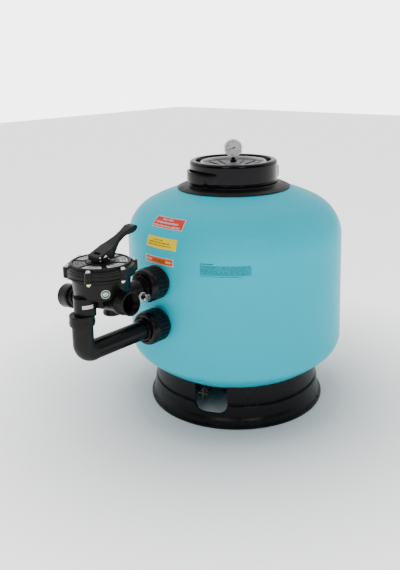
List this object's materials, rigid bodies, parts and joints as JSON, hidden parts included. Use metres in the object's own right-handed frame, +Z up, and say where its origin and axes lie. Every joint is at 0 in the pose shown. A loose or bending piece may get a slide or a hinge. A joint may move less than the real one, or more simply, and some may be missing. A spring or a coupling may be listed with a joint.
{
  "type": "sand filter tank",
  "caption": "Fibreglass sand filter tank on a round plinth, with a clear lid under a lock ring, pressure gauge, and side-mounted multiport valve with union pipework.",
  "frame": {"origin": "on the tank's vertical axis, at the floor", "axes": "+Z up; the two side ports point along -X and the valve stands on that side; +Y completes the right-handed frame"},
  "size_m": [0.8775, 0.6, 0.742],
  "materials": {
    "tank_gloss": "glossy gel coat over fibreglass",
    "base_plastic": "satin moulded",
    "neck_plastic": "satin moulded",
    "gloss_black": "gloss moulded",
    "black_plastic": "satin moulded",
    "valve_plastic": "fine grained moulded",
    "pipe_plastic": "satin extruded",
    "nut_plastic": "satin gloss moulded",
    "handle_plastic": "fine grained moulded",
    "drain_plastic": "satin moulded",
    "inner_plastic": "plain moulded",
    "clear_lid": "clear moulded",
    "clear_cup": "clear moulded",
    "gauge_glass": "clear",
    "grey_boss": "gloss moulded",
    "rubber": "matt",
    "steel": "satin",
    "chrome": "polished",
    "brass": "satin",
    "dial_white": "printed dial",
    "needle_black": "matt",
    "ring_label": "printed label",
    "sticker_green": "printed sticker",
    "label_white": "printed label",
    "label_orange": "printed label",
    "label_yellow": "printed label",
    "label_red": "printed label",
    "print_dark": "screen print"
  },
  "bodies": {
    "tank": {"base_ring": "base_plastic", "bulkhead_lower": "black_plastic", "bulkhead_upper": "black_plastic", "collector_hub": "inner_plastic", "collector_pipe": "inner_plastic", "cover_bolts": "steel", "cover_gasket": "rubber", "cover_nuts": "brass", "diffuser": "inner_plastic", "drain_spigot": "black_plastic", "label_info": "print_dark", "label_low": "label_orange", "label_middle": "label_yellow", "label_top": "label_red", "laterals": "inner_plastic", "lid_seal": "rubber", "lower_pipe": "pipe_plastic", "neck_flange": "neck_plastic", "port_gasket_lower": "rubber", "port_gasket_upper": "rubber", "position_ring": "ring_label", "riser_pipe": "inner_plastic", "round_sticker": "sticker_green", "sight_glass": "clear_cup", "socket_label": "label_white", "spider_gasket": "rubber", "tank_shell": "tank_gloss", "union_seal_lower": "rubber", "union_seal_upper": "rubber", "union_tail_lower": "pipe_plastic", "union_tail_upper": "pipe_plastic", "valve_body": "valve_plastic", "valve_cover": "valve_plastic"},
    "lid": {"lid_window": "clear_lid", "lid_boss": "grey_boss", "gauge_stem": "black_plastic", "gauge_case": "steel", "gauge_bezel": "chrome", "gauge_dial": "dial_white", "gauge_window": "gauge_glass"},
    "lock_ring": {"lock_ring": "gloss_black"},
    "gauge_needle": {"gauge_needle": "needle_black"},
    "union_nut_lower": {"union_nut_lower": "nut_plastic"},
    "union_nut_upper": {"union_nut_upper": "nut_plastic"},
    "drain_cap": {"drain_cap": "drain_plastic"},
    "selector": {"thrust_washer": "black_plastic"},
    "rotor": {"valve_rotor": "inner_plastic", "valve_shaft": "black_plastic", "handle_pin": "steel", "valve_spring": "steel"},
    "handle": {"handle": "handle_plastic"}
  },
  "joints": [
    {"name": "lid_lift", "type": "slide", "parent": "tank", "child": "lid", "axis": [0, 0, 1], "range_m": [0, 0.15]},
    {"name": "lock_ring_turn", "type": "hinge", "parent": "lid", "child": "lock_ring", "pos_m": [0, 0, 0.65], "axis": [0, 0, 1], "continuous": true},
    {"name": "gauge_needle_turn", "type": "hinge", "parent": "lid", "child": "gauge_needle", "pos_m": [0, 0, 0.716], "axis": [0.749, 0.6626, 0], "range_deg": [0, 240], "stiffness_Nm_per_rad": 0.0002},
    {"name": "union_nut_lower_turn", "type": "hinge", "parent": "tank", "child": "union_nut_lower", "pos_m": [-0.33, 0, 0.293], "axis": [-1, 0, 0], "continuous": true},
    {"name": "union_nut_upper_turn", "type": "hinge", "parent": "tank", "child": "union_nut_upper", "pos_m": [-0.33, 0, 0.406], "axis": [-1, 0, 0], "continuous": true},
    {"name": "drain_cap_turn", "type": "hinge", "parent": "tank", "child": "drain_cap", "pos_m": [-0.20656, -0.06315, 0.083], "axis": [-0.9563, -0.2924, 0], "continuous": true},
    {"name": "selector_turn", "type": "hinge", "parent": "tank", "child": "selector", "pos_m": [-0.486, 0, 0.505], "axis": [0, 0, 1], "continuous": true},
    {"name": "rotor_lift", "type": "slide", "parent": "selector", "child": "rotor", "axis": [0, 0, 1], "range_m": [0, 0.003], "deforming": ["valve_spring"]},
    {"name": "handle_press", "type": "hinge", "parent": "rotor", "child": "handle", "pos_m": [-0.486, 0, 0.517], "axis": [0, 1, 0], "range_deg": [0, 12], "stiffness_Nm_per_rad": 12, "springref_deg": -17.19}
  ],
  "couplings": [
    {"joint": "rotor_lift", "follows": "handle_press", "m_per_rad": 0.0143}
  ]
}
